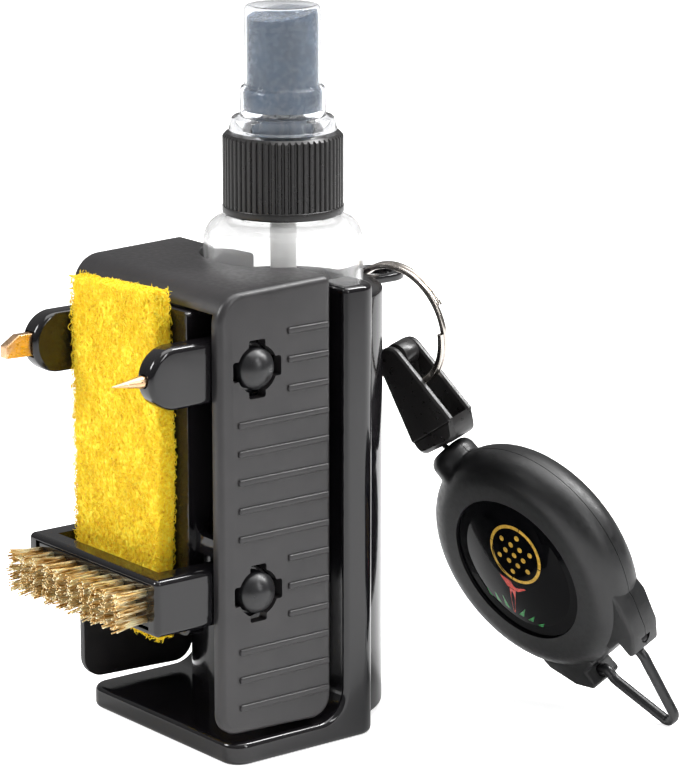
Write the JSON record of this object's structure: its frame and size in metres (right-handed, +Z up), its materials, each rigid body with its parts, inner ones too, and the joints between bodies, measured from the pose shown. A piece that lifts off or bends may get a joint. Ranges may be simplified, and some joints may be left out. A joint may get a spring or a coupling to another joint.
{
  "type": "golf club groove brush",
  "caption": "Pocket-size cleaning station: spray bottle in a holder, scouring pad, folding picks and brass brush, and a pull-cord reel on a split ring.",
  "frame": {"origin": "middle of the base's underside, on the ground and on the plane that halves the holder left and right", "axes": "+Z up along the bottle, -Y towards the pad, picks and brush, +Y towards the lug with the ring, +X to the right of someone who stands at -Y and looks along +Y"},
  "size_m": [0.0891, 0.1101, 0.1456],
  "materials": {
    "matte_black_plastic": "satin matte with a fine pebble",
    "gloss_black_plastic": "glossy moulded",
    "pad_yellow": "non-woven scouring fibre",
    "brass": "turned and stamped",
    "bristle_brass": "fine wire",
    "clear_plastic": "clear moulded",
    "blue_grey_plastic": "satin moulded",
    "white_plastic": "satin moulded",
    "gasket_rubber": "matte",
    "spring_steel": "drawn wire and strip",
    "nickel": "nickel plated",
    "cord": "braided",
    "badge": "domed clear coat over a dark label",
    "painted_wire": "satin black"
  },
  "bodies": {
    "holder": {"bottle_holder": "gloss_black_plastic", "cover": "matte_black_plastic", "front_panel": "gloss_black_plastic", "panel_screw_upper": "spring_steel", "panel_screw_lower": "spring_steel", "scouring_pad": "pad_yellow"},
    "right_pick": {"right_pick_arm": "gloss_black_plastic", "pick_point": "brass", "right_pick_pivot": "matte_black_plastic"},
    "left_pick": {"left_pick_arm": "gloss_black_plastic", "scraper_blade": "brass", "left_pick_pivot": "matte_black_plastic"},
    "brush": {"brush_frame": "gloss_black_plastic", "brass_bristles": "bristle_brass", "right_brush_pivot": "matte_black_plastic", "left_brush_pivot": "matte_black_plastic"},
    "bottle": {"spray_bottle": "clear_plastic"},
    "pump": {"pump_body": "white_plastic", "dip_tube": "white_plastic", "neck_gasket": "gasket_rubber", "check_ball": "spring_steel", "pump_spring": "spring_steel"},
    "collar": {"ribbed_collar": "matte_black_plastic"},
    "button": {"spray_button": "blue_grey_plastic", "spray_nozzle": "white_plastic", "pump_stem": "white_plastic"},
    "cap": {"overcap": "clear_plastic"},
    "ring": {"split_ring": "nickel"},
    "fork": {"strap_fork": "gloss_black_plastic", "fork_pin": "gloss_black_plastic"},
    "cord": {"pull_cord": "cord"},
    "reel": {"reel_front_shell": "matte_black_plastic", "reel_rear_shell": "matte_black_plastic", "reel_badge": "badge", "reel_axle": "spring_steel", "main_spring": "spring_steel"},
    "spool": {"cord_spool": "white_plastic", "cord_winding": "cord"},
    "bail": {"wire_bail": "painted_wire"}
  },
  "joints": [
    {"name": "right_pick_fold", "type": "hinge", "parent": "holder", "child": "right_pick", "pos_m": [0.0198, -0.01205, 0.0799], "axis": [1, 0, 0], "range_deg": [0, 90]},
    {"name": "left_pick_fold", "type": "hinge", "parent": "holder", "child": "left_pick", "pos_m": [-0.0198, -0.01205, 0.0799], "axis": [1, 0, 0], "range_deg": [0, 90]},
    {"name": "brush_fold", "type": "hinge", "parent": "holder", "child": "brush", "pos_m": [0, -0.01205, 0.0349], "axis": [1, 0, 0], "range_deg": [0, 90]},
    {"name": "bottle_lift", "type": "slide", "parent": "holder", "child": "bottle", "axis": [0, 0, 1], "range_m": [0, 0.1]},
    {"name": "pump_lift", "type": "slide", "parent": "bottle", "child": "pump", "axis": [0, 0, 1], "range_m": [0, 0.0048]},
    {"name": "collar_turn", "type": "hinge", "parent": "pump", "child": "collar", "pos_m": [0, 0.01335, 0.112], "axis": [0, 0, 1], "range_deg": [0, 576.1]},
    {"name": "button_press", "type": "slide", "parent": "pump", "child": "button", "axis": [0, 0, -1], "range_m": [0, 0.004], "stiffness_N_per_m": 400, "springref_m": -0.002, "deforming": ["pump_spring"]},
    {"name": "overcap_lift", "type": "slide", "parent": "pump", "child": "cap", "axis": [0, 0, 1], "range_m": [0, 0.03]},
    {"name": "ring_swing", "type": "hinge", "parent": "holder", "child": "ring", "pos_m": [-0.0004, 0.03486, 0.08852], "axis": [0.7981, -0.0036, 0.6025], "range_deg": [-2, 40]},
    {"name": "fork_swing", "type": "hinge", "parent": "ring", "child": "fork", "pos_m": [0.01199, 0.03998, 0.06716], "axis": [0.9082, 0.1219, 0.4005], "range_deg": [-12, 8]},
    {"name": "cord_swivel", "type": "hinge", "parent": "fork", "child": "cord", "pos_m": [0.01543, 0.04323, 0.05363], "axis": [0.6188, 0.3194, -0.7177], "range_deg": [-180, 180]},
    {"name": "cord_pull", "type": "slide", "parent": "cord", "child": "reel", "axis": [0.6188, 0.3194, -0.7177], "range_m": [0, 0.6]},
    {"name": "spool_turn", "type": "hinge", "parent": "reel", "child": "spool", "pos_m": [0.03338, 0.05249, 0.03282], "axis": [-0.0852, 0.9355, 0.3429], "range_deg": [0, 2371]},
    {"name": "bail_swing", "type": "hinge", "parent": "reel", "child": "bail", "pos_m": [0.04983, 0.06099, 0.01373], "axis": [0.7809, -0.1511, 0.6061], "range_deg": [-90, 90]}
  ],
  "couplings": [
    {"joint": "collar_turn", "follows": "pump_lift", "rad_per_m": 2094.4},
    {"joint": "spool_turn", "follows": "cord_pull", "rad_per_m": 68.966}
  ]
}
